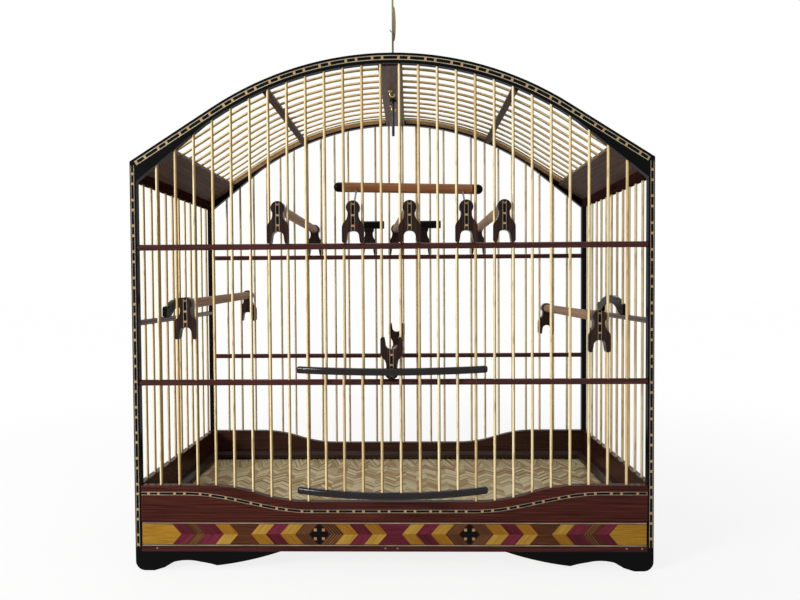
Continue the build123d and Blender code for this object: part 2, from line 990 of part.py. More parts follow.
def perch_nodes(high_places, high_holes):
    upper = [(gap_place(f), gap_place(b)) for f, b in upper_perch_gap_shares]
    left_front = (-side_perch_x, side_perch_left_z)
    left_back = (-side_perch_x, side_perch_left_z + side_perch_left_lift)
    right_end = (side_perch_x, side_perch_right_z)
    side_fronts, side_backs = (left_front, right_end), (left_back, right_end)
    inverted_tip = low_row_z + bracket_head_z
    fronts = [bracket_front(f, rail_high_top) for f, _ in upper]
    backs = [bracket_back(b, rail_high_top) for _, b in upper]
    tees = [bracket_back(gap_place(n), rail_high_top) for n in tee_gap_shares]
    holders = [cut(bracket_front(x, rail_high_top), high_holes) for x in high_places]
    low_front = turned_over(bracket_front(0, inverted_tip), inverted_tip)
    low_back = turned_over(bracket_back(0, inverted_tip), inverted_tip)
    sides = [bracket_front(x, z - bracket_head_z) for x, z in side_fronts]
    sides += [bracket_back(x, z - bracket_head_z) for x, z in side_backs]
    return {
        "brackets_upper": fronts + backs + tees,
        "brackets_high_perch": holders,
        "brackets_side": sides,
        "brackets_low": [low_front, low_back],
        "perches_upper": [perch((f, high_row_z), (b, high_row_z)) for f, b in upper],
        "perches_side": [perch(f, b) for f, b in zip(side_fronts, side_backs)],
        "perch_low": [perch((0, low_row_z), (0, low_row_z))],
        "tee_perches": [tee_perch(gap_place(n)) for n in tee_gap_shares],
        "high_perch": [high_perch(high_holes)],
        "high_caps": [high_cap(-1), high_cap(1)],
        "high_wires": [high_wire(x, 0) for x in high_places],
    }


def main():
    os.makedirs("parts", exist_ok=True)
    nodes = all_nodes()
    for name, solids in nodes.items():
        shape = solids[0] if len(solids) == 1 else Compound(solids)
        export_step(shape, os.path.join("parts", name + ".step"))
    print(len(nodes), "nodes")


main()
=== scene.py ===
import math
import random

import bmesh
import bpy
from mathutils import Matrix, Vector

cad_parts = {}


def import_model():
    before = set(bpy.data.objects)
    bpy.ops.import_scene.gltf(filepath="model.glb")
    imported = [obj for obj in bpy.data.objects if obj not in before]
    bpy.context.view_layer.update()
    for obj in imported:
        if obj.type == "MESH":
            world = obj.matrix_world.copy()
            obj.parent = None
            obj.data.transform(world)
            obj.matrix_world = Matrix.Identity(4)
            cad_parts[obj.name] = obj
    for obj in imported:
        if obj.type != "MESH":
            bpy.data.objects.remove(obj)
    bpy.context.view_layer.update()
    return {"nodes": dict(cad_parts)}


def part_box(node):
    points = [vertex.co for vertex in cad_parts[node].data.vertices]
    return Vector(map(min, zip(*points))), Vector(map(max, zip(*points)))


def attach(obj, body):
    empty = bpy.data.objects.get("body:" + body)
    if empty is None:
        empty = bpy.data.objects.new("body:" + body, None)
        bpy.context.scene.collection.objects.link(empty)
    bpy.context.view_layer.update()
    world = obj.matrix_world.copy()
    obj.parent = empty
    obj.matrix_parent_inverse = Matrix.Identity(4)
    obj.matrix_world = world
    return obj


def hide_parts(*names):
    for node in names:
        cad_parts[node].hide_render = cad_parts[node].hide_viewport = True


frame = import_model()


node = frame["nodes"]
random.seed(11)

# Sizes of the cage in metres, read from its pieces
MM = 0.001
PITCH = 0.018
(_, FRONT, _), (BOARD_END, _, TOP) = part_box("arch_front")
(_, IN_BACK, _), (_, BACK, _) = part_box("arch_back")
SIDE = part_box("posts")[1][0]
MID_Y = (FRONT + BACK) / 2

# The roof's outside is an arc that runs out into a straight slope on each side
ROOF_R = 0.317
ROOF_ZC = TOP - ROOF_R
SLOPE = math.radians(32.4)


# Height of the line that runs at this depth under the roof's outside
def roof_z(x, depth):
    r = ROOF_R - depth
    x = abs(x)
    if x <= r * math.sin(SLOPE):
        return ROOF_ZC + math.sqrt(r * r - x * x)
    return ROOF_ZC + r * math.cos(SLOPE) - (x - r * math.sin(SLOPE)) * math.tan(SLOPE)


# Equal steps from a to b, both ends included
def spaced(a, b, count):
    return [a + (b - a) * k / count for k in range(count + 1)]


# Camera, fitted to the corners of the frame in the photograph
PHOTO_WIDTH_PX = 800
FOCAL_PX = 593.8574
SENSOR_WIDTH = 36.0
CAMERA_AWAY = 0.5670996
CAMERA_X = 0.0184005
CAMERA_Y = FRONT - CAMERA_AWAY
CAMERA_Z = 0.2750392
CAMERA_PITCH = math.radians(-1.349)
CAMERA_YAW = math.radians(1.005)
CAMERA_ROLL = math.radians(-0.342)
CAMERA_CLIP = (0.01, 60.0)


def camera():
    level_share = math.cos(CAMERA_PITCH)
    forward = Vector((
        -math.sin(CAMERA_YAW) * level_share,
        math.cos(CAMERA_YAW) * level_share,
        math.sin(CAMERA_PITCH),
    ))
    level = forward.cross(Vector((0, 0, 1))).normalized()
    upright = level.cross(forward).normalized()
    right = level * math.cos(CAMERA_ROLL) + upright * math.sin(CAMERA_ROLL)
    up = right.cross(forward).normalized()
    data = bpy.data.cameras.new("camera")
    data.sensor_fit = "HORIZONTAL"
    data.sensor_width = SENSOR_WIDTH
    data.lens = FOCAL_PX / PHOTO_WIDTH_PX * SENSOR_WIDTH
    data.clip_start, data.clip_end = CAMERA_CLIP
    cam = bpy.data.objects.new("camera", data)
    cam.matrix_world = Matrix((
        (right.x, up.x, -forward.x, CAMERA_X),
        (right.y, up.y, -forward.y, CAMERA_Y),
        (right.z, up.z, -forward.z, CAMERA_Z),
        (0, 0, 0, 1),
    ))
    bpy.context.collection.objects.link(cam)
    bpy.context.scene.camera = cam


camera()


# One material, with short calls for the nodes that the materials below share
class Nodes:
    seed_steps = (1.0, 1.7, 0.6)

    def __init__(self, name):
        self.mat = bpy.data.materials.new(name)
        self.mat.use_nodes = True
        self.tree = self.mat.node_tree
        self.shader = self.tree.nodes["Principled BSDF"]
        self.coord = self.tree.nodes.new("ShaderNodeTexCoord")

    def add(self, kind, **props):
        made = self.tree.nodes.new(kind)
        for key, value in props.items():
            setattr(made, key, value)
        return made

    def link(self, a, b):
        self.tree.links.new(a, b)

    def place(self, scale, angle=(0, 0, 0), seed=0.0):
        turned = self.add("ShaderNodeMapping", vector_type="POINT")
        turned.inputs["Rotation"].default_value = angle
        self.link(self.coord.outputs["Object"], turned.inputs["Vector"])
        scaled = self.add("ShaderNodeMapping")
        scaled.inputs["Scale"].default_value = scale
        scaled.inputs["Location"].default_value = [seed * step for step in self.seed_steps]
        self.link(turned.outputs["Vector"], scaled.inputs["Vector"])
        return scaled.outputs["Vector"]

    def noise(self, place, detail=4.0, rough=0.6, distort=0.0):
        made = self.add("ShaderNodeTexNoise")
        made.inputs["Scale"].default_value = 1.0
        made.inputs["Detail"].default_value = detail
        made.inputs["Roughness"].default_value = rough
        made.inputs["Distortion"].default_value = distort
        self.link(place, made.inputs["Vector"])
        return made.outputs["Fac"]

    def ramp(self, value, stops):
        made = self.add("ShaderNodeValToRGB")
        ends = made.color_ramp.elements
        for end, (place, color) in zip(ends, (stops[0], stops[-1])):
            end.position, end.color = place, (*color, 1)
        for place, color in stops[1:-1]:
            ends.new(place).color = (*color, 1)
        self.link(value, made.inputs["Fac"])
        return made.outputs["Color"]

    def calc(self, operation, a, b=None):
        made = self.add("ShaderNodeMath", operation=operation)
        self.fill(made, ((0, a), (1, b)))
        return made.outputs[0]

    def mix(self, share, a, b, mode="MIX"):
        made = self.add("ShaderNodeMix", data_type="RGBA", blend_type=mode)
        self.fill(made, ((0, share), (6, a), (7, b)))
        return made.outputs[2]

    # Each input is a number, a colour or another node's output
    def fill(self, made, values):
        for index, value in values:
            if isinstance(value, (int, float)):
                made.inputs[index].default_value = value
            elif isinstance(value, tuple):
                made.inputs[index].default_value = (*value, 1)
            elif value is not None:
                self.link(value, made.inputs[index])

    def scaled(self, value, low, high):
        made = self.add("ShaderNodeMapRange")
        made.inputs["To Min"].default_value = low
        made.inputs["To Max"].default_value = high
        self.link(value, made.inputs["Value"])
        return made.outputs["Result"]

    def axis(self, index):
        made = self.add("ShaderNodeSeparateXYZ")
        self.link(self.coord.outputs["Object"], made.inputs["Vector"])
        return made.outputs[index]

    # Fills the shader's inputs; relief is how far the bump's height reaches
    def finish(self, color, roughness, gloss, height, strength, relief):
        self.link(color, self.shader.inputs["Base Color"])
        self.link(roughness, self.shader.inputs["Roughness"])
        if gloss is not None:
            self.shader.inputs["Specular IOR Level"].default_value = gloss
        bump = self.add("ShaderNodeBump")
        bump.inputs["Strength"].default_value = strength
        bump.inputs["Distance"].default_value = relief
        self.link(height, bump.inputs["Height"])
        self.link(bump.outputs["Normal"], self.shader.inputs["Normal"])
        return self.mat


# The linear colour of a tone that is given in the usual screen values from 0 to 255
def rgb(r, g, b):
    return tuple(((v / 255 + 0.055) / 1.055) ** 2.4 if v > 10 else v / 255 / 12.92 for v in (r, g, b))


# Scale of a noise that is drawn out along one axis: its repeats per metre across and along that axis
def grain(axis, across, along):
    scale = [across] * 3
    scale["XYZ".index(axis)] = along
    return scale


# Where a wood's three tones lie on its streaks, how much finer and shorter its pores are and how far
# they darken it, the scale of its slow patches, and how deep its relief is
TONE_STOPS = (0.28, 0.5, 0.75)
PORE_FINER, PORE_SHORTER = 3.2, 2.2
PORE_SHADE = 0.35
PATCH_ACROSS, PATCH_ALONG = 26.0, 5.0
WOOD_RELIEF = 0.0002


# Wood: long streaks along one axis, finer and shorter pores, slow patches. tones are its dark, middle
# and light colour, and fine and length are the streaks' scale across and along the grain.
def wood(name, tones, axis="X", fine=900, length=22, rough=0.35, gloss=0.5, seed=0.0, bump=0.12,
         angle=(0, 0, 0), patch=0.25):
    n = Nodes(name)
    tones = [rgb(*tone) for tone in tones]
    streak_scale = grain(axis, fine, length)
    pore_scale = grain(axis, fine * PORE_FINER, length * PORE_SHORTER)
    patch_scale = grain(axis, PATCH_ACROSS, PATCH_ALONG)
    streaks = n.noise(n.place(streak_scale, angle, seed), detail=5.0, distort=0.3)
    pores = n.noise(n.place(pore_scale, angle, seed + 3), detail=3.0)
    patches = n.noise(n.place(patch_scale, angle, seed + 7), detail=3.0, rough=0.5)
    color = n.ramp(streaks, list(zip(TONE_STOPS, tones)))
    color = n.mix(n.scaled(pores, 0.0, PORE_SHADE), color, tones[0])
    toned = n.add("ShaderNodeVectorMath", operation="SCALE")
    n.link(color, toned.inputs[0])
    n.link(n.scaled(patches, 1.0 - patch, 1.0 + patch), toned.inputs["Scale"])
    roughness = n.scaled(pores, rough - 0.06, rough + 0.10)
    height = n.calc("ADD", streaks, pores)
    return n.finish(toned.outputs["Vector"], roughness, gloss, height, bump, WOOD_RELIEF)


# Split bamboo: pale, fibrous, each wire of its own tone, with painted shade: one side of each wire is
# painted darker olive brown, by default the right side and for the roof wires mostly the underside. spread
# is the axis along which the wires stand a pitch apart, 0 for x and 1 for y, and middle is where their
# places are counted from.
def bamboo(name, spread, middle=0.0, axis="Z", shade_side=(1.0, 0.1, 0.0)):
    n = Nodes(name)
    wire = n.calc("FLOOR", n.calc("DIVIDE", n.calc("ADD", n.axis(spread), -middle), PITCH))
    per_wire = n.add("ShaderNodeTexWhiteNoise", noise_dimensions="1D")
    n.link(wire, per_wire.inputs["W"])
    own = per_wire.outputs["Value"]
    fibres = n.noise(n.place(grain(axis, 3200.0, 24.0)))
    spots = n.noise(n.place(grain(axis, 420.0, 60.0), seed=5.0), detail=3.0)
    pale = n.ramp(fibres, [(0.25, rgb(186, 154, 98)), (0.5, rgb(226, 204, 150)), (0.8, rgb(246, 232, 188))])
    tone = n.ramp(own, [(0.0, rgb(176, 138, 80)), (0.35, rgb(220, 194, 136)), (1.0, rgb(250, 238, 198))])
    color = n.mix(0.5, pale, tone)
    # Painted shade: the side of each wire that faces the given shade direction is darkened, a little more
    # or less from wire to wire
    shade_side_facing = n.add("ShaderNodeVectorMath", operation="DOT_PRODUCT")
    n.link(n.coord.outputs["Normal"], shade_side_facing.inputs[0])
    shade_side_facing.inputs[1].default_value = Vector(shade_side).normalized()
    turned = n.calc("ADD", shade_side_facing.outputs["Value"], n.scaled(own, -0.15, 0.2))
    shade_side_share = n.ramp(turned, [(0.0, (0, 0, 0)), (0.5, (0.85, 0.85, 0.85))])
    color = n.mix(shade_side_share, color, n.ramp(fibres, [(0.3, rgb(104, 76, 34)), (0.7, rgb(150, 118, 62))]))
    stain = n.ramp(spots, [(0.30, rgb(150, 108, 58)), (0.46, rgb(255, 255, 255))])
    color = n.mix(0.55, color, stain, "MULTIPLY")
    roughness = n.scaled(fibres, 0.40, 0.60)
    return n.finish(color, roughness, gloss=0.16, height=fibres, strength=0.2, relief=0.0001)


# Black lacquer: a trace of grain, a slow wave in the surface and some wear in its gloss
GRAIN_LIFT, GRAIN_GLOW = 1.6, 0.001


def lacquer(name, axis="X", color=(5, 5, 5), rough=0.18):
    n = Nodes(name)
    streaks = n.noise(n.place(grain(axis, 700.0, 30.0)))
    wave = n.noise(n.place((60.0, 60.0, 60.0), seed=2.0), detail=2.0, rough=0.5)
    wear = n.noise(n.place((180.0, 180.0, 180.0), seed=9.0), detail=6.0, rough=0.7)
    base = rgb(*color)
    lifted = tuple(v * GRAIN_LIFT + GRAIN_GLOW for v in base)
    color = n.ramp(streaks, [(0.3, base), (0.8, lifted)])
    height = n.calc("ADD", n.calc("MULTIPLY", streaks, 0.3), wave)
    roughness = n.scaled(wear, rough - 0.08, rough + 0.14)
    return n.finish(color, roughness, gloss=0.05, height=height, strength=0.05, relief=0.0003)


# Metal with patches of tarnish. fade, where it is given, holds the height up to which the tarnish covers
# everything, and the height from which only the patches are left.
def metal(name, color, rough, streak=(400, 400, 400), metallic=1.0, tarnish=(60, 50, 30), amount=0.3,
          fade=None):
    n = Nodes(name)
    patches = n.noise(n.place(streak))
    share = n.scaled(patches, 0.0, amount)
    if fade:
        height = n.add("ShaderNodeMapRange")
        for key, value in zip(("From Min", "From Max", "To Min", "To Max"), (*fade, 1.0, 0.0)):
            height.inputs[key].default_value = value
        n.link(n.axis(2), height.inputs["Value"])
        share = n.calc("MAXIMUM", share, height.outputs["Result"])
    n.shader.inputs["Metallic"].default_value = metallic
    color = n.mix(share, rgb(*color), rgb(*tarnish))
    roughness = n.scaled(patches, rough - 0.08, rough + 0.15)
    return n.finish(color, roughness, gloss=None, height=patches, strength=0.08, relief=0.0001)


# Dark, middle and light tones of the woods
BOARD_TONES = (30, 11, 8), (68, 28, 21), (104, 54, 42)
BACK_TONES = (36, 20, 15), (62, 40, 32), (88, 62, 50)
BOARD_SIDE_TONES = (32, 15, 11), (58, 30, 23), (82, 46, 36)
STRIP_TONES = (36, 13, 12), (64, 28, 25), (88, 46, 41)
RAIL_TONES = (40, 15, 13), (66, 29, 26), (96, 48, 42)
SKIRT_TONES = (32, 24, 21), (56, 41, 35), (84, 64, 55)
ROOF_TONES = (50, 35, 29), (82, 63, 54), (108, 85, 73)
# The side top boards are darker and redder than the roof boards: partly their own wood, partly painted
# shade for their inner faces, which lie in shade under the eaves
SIDE_TOP_TONES = (26, 13, 12), (47, 26, 24), (68, 42, 38)
RIDGE_TONES = (56, 40, 33), (88, 67, 57), (118, 94, 80)
PLAIN_TONES = (130, 96, 60), (172, 134, 90), (196, 160, 114)
PERCH_TONES = (108, 76, 52), (150, 112, 82), (180, 142, 108)
HIGH_PERCH_TONES = (102, 60, 34), (142, 92, 57), (170, 120, 80)
BRACKET_TONES = (18, 11, 10), (42, 27, 23), (74, 50, 42)
DOOR_BAR_TONES = (12, 8, 8), (24, 17, 17), (42, 32, 31)

# Materials, each with the axis that its grain follows
BLACK_X = lacquer("black_lacquer_x")
BLACK_Z = lacquer("black_lacquer_z", "Z")
BLACK_Y = lacquer("black_lacquer_y", "Y")
BOARD_X = wood("board_x", BOARD_TONES, "X", fine=1000, length=16, rough=0.2, gloss=0.06, seed=1.0)
BOARD_BACK = wood("board_back", BACK_TONES, "X", fine=1000, length=16, rough=0.22, gloss=0.06, seed=1.6)
BOARD_Y = wood("board_y", BOARD_SIDE_TONES, "Y", fine=1000, length=16, rough=0.22, gloss=0.08, seed=4.0)
STRIP_X = wood("strip_x", STRIP_TONES, "X", fine=1200, length=18, rough=0.22, gloss=0.06, seed=2.0)
STRIP_Y = wood("strip_y", STRIP_TONES, "Y", fine=1200, length=18, rough=0.22, gloss=0.06, seed=2.5)
RAIL_X = wood("rail_x", RAIL_TONES, "X", fine=1500, length=20, rough=0.16, gloss=0.14, seed=3.0)
RAIL_Y = wood("rail_y", RAIL_TONES, "Y", fine=1500, length=20, rough=0.16, gloss=0.14, seed=3.5)
SKIRT_X = wood("skirt_x", SKIRT_TONES, "X", fine=1200, length=18, rough=0.2, gloss=0.08, seed=5.4)
SKIRT_Y = wood("skirt_y", SKIRT_TONES, "Y", fine=1200, length=18, rough=0.2, gloss=0.08, seed=5.8)
ROOF_Y = wood("roof_y", ROOF_TONES, "Y", fine=900, length=14, rough=0.42, gloss=0.02, seed=6.0)
SIDE_TOP = wood("side_top", SIDE_TOP_TONES, "Y", fine=900, length=14, rough=0.5, gloss=0.0, seed=6.3)
ROOF_RIDGE = wood("roof_ridge", RIDGE_TONES, "Y", fine=700, length=14, rough=0.38, gloss=0.1, seed=6.6)
PLAIN_X = wood("plain_x", PLAIN_TONES, "X", fine=800, length=12, rough=0.6, gloss=0.2, seed=8.0)
PLAIN_Y = wood("plain_y", PLAIN_TONES, "Y", fine=800, length=12, rough=0.6, gloss=0.2, seed=8.3)
PERCH_Y = wood("perch_y", PERCH_TONES, "Y", fine=1100, length=14, rough=0.5, gloss=0.14, seed=9.0)
PERCH_X = wood("perch_x", HIGH_PERCH_TONES, "X", fine=1100, length=14, rough=0.42, gloss=0.14, seed=9.6)
BRACKET = wood("bracket", BRACKET_TONES, "Z", fine=900, length=26, rough=0.24, gloss=0.08, seed=5.0)
DOOR_BAR = wood("door_bar", DOOR_BAR_TONES, "X", fine=1300, length=30, rough=0.10, gloss=0.24, seed=5.9)
BAMBOO_X = bamboo("bamboo_by_x", 0)
BAMBOO_Y = bamboo("bamboo_by_y", 1, MID_Y)
# The roof wires' painted shade lies mostly on their undersides
BAMBOO_ROOF = bamboo("bamboo_roof", 1, MID_Y, "X", shade_side=(0.3, 0.1, -1.0))
BRASS = metal("brass", (226, 200, 136), 0.3, tarnish=(126, 100, 58))
PIN = metal("pin_metal", (146, 116, 106), 0.5, metallic=0.7, tarnish=(90, 62, 56), amount=0.6)
OLIVE = metal("olive_wire", (150, 142, 92), 0.42, streak=(300, 300, 40), metallic=0.6,
              tarnish=(84, 68, 36), amount=0.6, fade=(0.556, 0.602))
BLACK_METAL = metal("black_rod", (22, 22, 23), 0.35, streak=(900, 900, 120), metallic=0.3,
                    tarnish=(50, 50, 50))
STEEL = metal("thin_steel", (150, 150, 152), 0.3, streak=(900, 900, 200), tarnish=(90, 90, 92))

LOOKS = (
    (BLACK_X, "arch_front arch_back foot_front_left foot_front_right foot_back_left foot_back_right"),
    (BLACK_X, "tee_perches high_caps"),
    (BLACK_Y, "side_arches"),
    (BLACK_Z, "posts"),
    (BOARD_X, "board_front drawer_front"),
    (BOARD_BACK, "board_back"),
    (BOARD_Y, "board_left board_right"),
    (STRIP_X, "strip_front strip_back"),
    (STRIP_Y, "strips_side"),
    (SKIRT_X, "skirting_long"),
    (SKIRT_Y, "skirting_short"),
    (RAIL_X, "rail_front_upper rail_front_lower rail_back_upper rail_back_lower"),
    (RAIL_Y, "rail_left rail_right"),
    (BAMBOO_X, "wires_front_left wires_front_right wires_front_centre wires_back door_wires"),
    (BAMBOO_Y, "wires_left wires_right"),
    (BAMBOO_ROOF, "roof_wires_left roof_wires_right"),
    (ROOF_RIDGE, "ridge_board"),
    (ROOF_Y, "ribs eave_boards"),
    (SIDE_TOP, "side_top_boards"),
    (PLAIN_X, "drawer_floor drawer_back"),
    (PLAIN_Y, "drawer_sides runners"),
    (DOOR_BAR, "door_bar_upper door_bar_lower"),
    (PERCH_X, "high_perch"),
    (PERCH_Y, "perches_upper perches_side perch_low"),
    (BRACKET, "brackets_upper brackets_high_perch brackets_side brackets_low"),
    (PIN, "pins"),
    (BRASS, "cup_hooks"),
    (OLIVE, "hanger_wire hanger_strand"),
    (BLACK_METAL, "hanger_bolt"),
    (STEEL, "high_wires"),
)
for material, names in LOOKS:
    for name in names.split():
        node[name].data.materials.clear()
        node[name].data.materials.append(material)

# Worn edges of the squared pieces
EDGE = 0.0005
EDGE_ANGLE = math.radians(50)
SQUARED = "posts strip_front strip_back strips_side skirting_long skirting_short drawer_front"


def soften(name):
    bevel = node[name].modifiers.new("edge", "BEVEL")
    bevel.width = EDGE
    bevel.segments = 2
    bevel.limit_method = "ANGLE"
    bevel.angle_limit = EDGE_ANGLE
    bevel.harden_normals = False


for name in SQUARED.split():
    soften(name)


# A mesh object in the scene; which gives each face's place in the list of materials
def new_object(name, verts, faces, mats, which=None):
    mesh = bpy.data.meshes.new(name)
    mesh.from_pydata(verts, [], faces)
    for mat in mats:
        mesh.materials.append(mat)
    if which:
        mesh.polygons.foreach_set("material_index", which)
    mesh.update()
    obj = bpy.data.objects.new(name, mesh)
    bpy.context.collection.objects.link(obj)
    return obj


# Inlay lies a hair proud of its surface, as small faces that look to the front
PROUD = 0.00006
FACE_Y = FRONT - PROUD


class Inlay:
    def __init__(self, name, mats, body="cage", slot="black_lacquer"):
        self.name, self.mats, self.body, self.slot = name, mats, body, slot
        self.verts, self.faces, self.which = [], [], []

    def face(self, points, mat):
        start = len(self.verts)
        self.verts.extend(points)
        self.faces.append(list(range(start, start + len(points))))
        self.which.append(self.mats.index(mat))

    def rectangle(self, x0, x1, z0, z1, mat, y=FACE_Y):
        self.face([(x0, y, z0), (x1, y, z0), (x1, y, z1), (x0, y, z1)], mat)

    def make(self):
        obj = new_object(self.name, self.verts, self.faces, self.mats, self.which)
        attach(obj, self.body)
        return obj


BEIGE_TONES = (140, 104, 68), (180, 142, 98), (206, 172, 128)
HAIR_TONES = (100, 90, 72), (144, 132, 110), (182, 170, 146)
# The arch's hairlines take a lighter copy of the hairline tones: painted light for the lit top of the arch
LIT_HAIR_TONES = (128, 120, 96), (168, 158, 132), (200, 190, 164)
BROWN_TONES = (96, 70, 46), (140, 108, 78), (164, 132, 98)
INK = lacquer("inlay_black", color=(7, 7, 7), rough=0.22)
BEIGE = wood("inlay_beige", BEIGE_TONES, fine=1500, length=200, rough=0.3, gloss=0.1, seed=12.0)
HAIR = wood("inlay_line", HAIR_TONES, fine=1500, length=60, rough=0.3, gloss=0.1, seed=13.0, patch=0.35)
LIT_HAIR = wood("inlay_line_arch", LIT_HAIR_TONES, fine=1500, length=60, rough=0.3, gloss=0.1,
                 seed=13.5, patch=0.35)
BROWN_LINE = wood("inlay_brown", BROWN_TONES, fine=1200, length=60, rough=0.32, gloss=0.1, seed=14.0)
LINE_SET = [INK, BEIGE, HAIR, LIT_HAIR]


# A path in the front's plane: at() gives the point s along it and v to its left
class Path:
    def __init__(self, points):
        self.points = [Vector(p) for p in points]
        self.sums = [0.0]
        for a, b in zip(self.points, self.points[1:]):
            self.sums.append(self.sums[-1] + (b - a).length)
        self.length = self.sums[-1]

    def at(self, s, v):
        s = min(max(s, 0.0), self.length)
        k = 0
        while k < len(self.sums) - 2 and self.sums[k + 1] < s:
            k += 1
        a, b = self.points[k], self.points[k + 1]
        t = (s - self.sums[k]) / (self.sums[k + 1] - self.sums[k])
        before = self.points[max(k - 1, 0)]
        after = self.points[min(k + 2, len(self.points) - 1)]
        d0, d1 = (b - before).normalized(), (after - a).normalized()
        d = (d0 * (1 - t) + d1 * t).normalized()
        p = a + (b - a) * t
        return (p.x - d.y * v, p.y + d.x * v)


# A stringing line along a path: two light hairlines, with dashes and blocks between them.
# Every other dash has a light tick in its middle.
HAIR_SHARE = 0.17
PATTERN = ((0.0130, INK, False), (0.0024, BEIGE, False), (0.0072, INK, True), (0.0024, BEIGE, False))
UNEVEN_SHARES = (0.97, 1.03)
TICK = 0.0007
SLIVER = 0.0002
LONGEST_FACE = 0.002


def stringing(inlay, path, width, skipped, line):
    hair = width * HAIR_SHARE
    low, high = -width / 2 + hair, width / 2 - hair

    def stretch(start, end, v0, v1, mat):
        places = spaced(start, end, max(1, math.ceil((end - start) / LONGEST_FACE)))
        for a, b in zip(places, places[1:]):
            points = [path.at(a, v0), path.at(b, v0), path.at(b, v1), path.at(a, v1)]
            inlay.face([(x, FACE_Y, z) for x, z in points], mat)

    stretch(0, path.length, -width / 2, low, line)
    stretch(0, path.length, high, width / 2, line)
    s, k = -skipped, 0
    while s < path.length:
        length, mat, ticked = PATTERN[k % len(PATTERN)]
        length *= random.uniform(*UNEVEN_SHARES)
        a, b = max(s, 0.0), min(s + length, path.length)
        if b > a + SLIVER:
            stretch(a, b, low, high, mat)
            if ticked:
                stretch((a + b) / 2 - TICK / 2, (a + b) / 2 + TICK / 2, low, high, HAIR)
        s += length
        k += 1


# Lines on the front arch, the two posts and the front board. Each has its width, its place on the
# piece, and how much of the pattern is skipped where it starts.
CURVE_STEPS = 160
ARCH_LINE_W = 0.0043
ARCH_LINE_DEPTH = 0.00455
ARCH_LINE_OVERRUN = 0.0005
ARCH_LINE_SKIPPED = 0.0127
POST_LINE_W = 0.0034
POST_LINE_INSET = 0.0026
POST_LINE_DEPTH = 0.00468
POST_LINE_BOTTOM = 0.023
POST_LINE_SKIPPED = 0.006
WAVE_LINE_W = 0.0032
WAVE_LINE_SKIPPED = 0.0068
END_GAP = 0.0002

# The line on the front board follows the wave of its top edge, from its high ends to its low middle
WAVE_FROM, WAVE_TO = 0.078, 0.202
WAVE_INSET = 0.0077
WAVE_DIP = 0.0174
WAVE_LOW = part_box("board_front")[1][2] - WAVE_INSET - WAVE_DIP


def wave_z(x):
    share = min(max((abs(x) - WAVE_FROM) / (WAVE_TO - WAVE_FROM), 0.0), 1.0)
    return WAVE_LOW + WAVE_DIP * (1 - math.cos(math.pi * share)) / 2


def frame_lines():
    lines = Inlay("inlay_frame", LINE_SET)
    end = BOARD_END + ARCH_LINE_OVERRUN
    arch = Path((x, roof_z(x, ARCH_LINE_DEPTH)) for x in spaced(-end, end, CURVE_STEPS))
    stringing(lines, arch, ARCH_LINE_W, ARCH_LINE_SKIPPED, LIT_HAIR)
    for side in (-1, 1):
        x = side * (SIDE - POST_LINE_INSET)
        post = Path([(x, roof_z(x, POST_LINE_DEPTH)), (x, POST_LINE_BOTTOM)])
        stringing(lines, post, POST_LINE_W, POST_LINE_SKIPPED, HAIR)
    end = BOARD_END - END_GAP
    wave = Path((x, wave_z(x)) for x in spaced(-end, end, CURVE_STEPS))
    stringing(lines, wave, WAVE_LINE_W, WAVE_LINE_SKIPPED, HAIR)
    lines.make()


frame_lines()

# Brown line let into the inner face of the back arch, on each side of the ridge board. It keeps these
# gaps from the ridge board and from the end of the arch.
BACK_LINE_GAPS = (0.0018, 0.004)
BACK_LINE_DEPTHS = (0.0072, 0.0034)
BACK_LINE_STEPS = 80


def back_arch_line():
    line = Inlay("inlay_back_arch", [BROWN_LINE])
    y = IN_BACK - PROUD
    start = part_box("ridge_board")[1][0] + BACK_LINE_GAPS[0]
    end = BOARD_END - BACK_LINE_GAPS[1]
    for side in (-1, 1):
        places = [side * x for x in spaced(start, end, BACK_LINE_STEPS)]
        edges = [[(x, y, roof_z(x, depth)) for depth in BACK_LINE_DEPTHS] for x in places]
        for (low_a, high_a), (low_b, high_b) in zip(edges, edges[1:]):
            line.face([low_a, low_b, high_b, high_a], BROWN_LINE)
    line.make()


back_arch_line()

# Marquetry band on the drawer front. A veneer's grain rises to the right in the way 1, falls in the
# way -1 and lies level in the way 0.
TILT = math.radians(50)
WAYS = {1: "rising", -1: "falling", 0: "level"}


def veneer(name, tones, way, seed):
    return wood("veneer_" + name, tones, fine=1300, length=40, rough=0.2, gloss=0.06, seed=seed,
                bump=0.05, angle=(0, way * TILT, 0), patch=0.16)


# The rising and falling copies of one veneer are one wood, the rising one lighter and the falling one
# darker: painted sheen and shade for grain that lies one way or the other to the light. The level copy lies
# between them.
# Each veneer's kind, way, three tones and seed
VENEER_TONES = (
    ("yellow", 1, ((130, 94, 28), (168, 130, 50), (194, 160, 82)), 1.0),
    ("yellow", -1, ((108, 68, 14), (144, 98, 26), (168, 124, 44)), 2.0),
    ("purple", 1, ((76, 20, 34), (104, 34, 50), (132, 56, 72)), 3.0),
    ("purple", -1, ((54, 12, 20), (80, 24, 34), (104, 40, 52)), 4.0),
    ("purple", 0, ((64, 16, 28), (90, 28, 42), (112, 46, 60)), 4.5),
    ("brown", 1, ((54, 26, 14), (82, 45, 25), (110, 68, 42)), 5.0),
    ("brown", -1, ((44, 21, 11), (70, 37, 21), (94, 57, 35)), 6.0),
    ("brown", 0, ((50, 24, 12), (80, 44, 24), (104, 64, 38)), 6.5),
    ("stripe", 1, ((106, 70, 42), (140, 102, 64), (164, 128, 86)), 7.0),
    ("stripe", -1, ((86, 56, 32), (118, 82, 50), (140, 106, 68)), 8.0),
    ("yellow", 0, ((120, 82, 20), (152, 111, 32), (178, 140, 56)), 9.0),
)
VENEERS = {}
for kind, way, tones, seed in VENEER_TONES:
    VENEERS[(kind, way)] = veneer("%s_%s" % (kind, WAYS[way]), tones, way, seed)
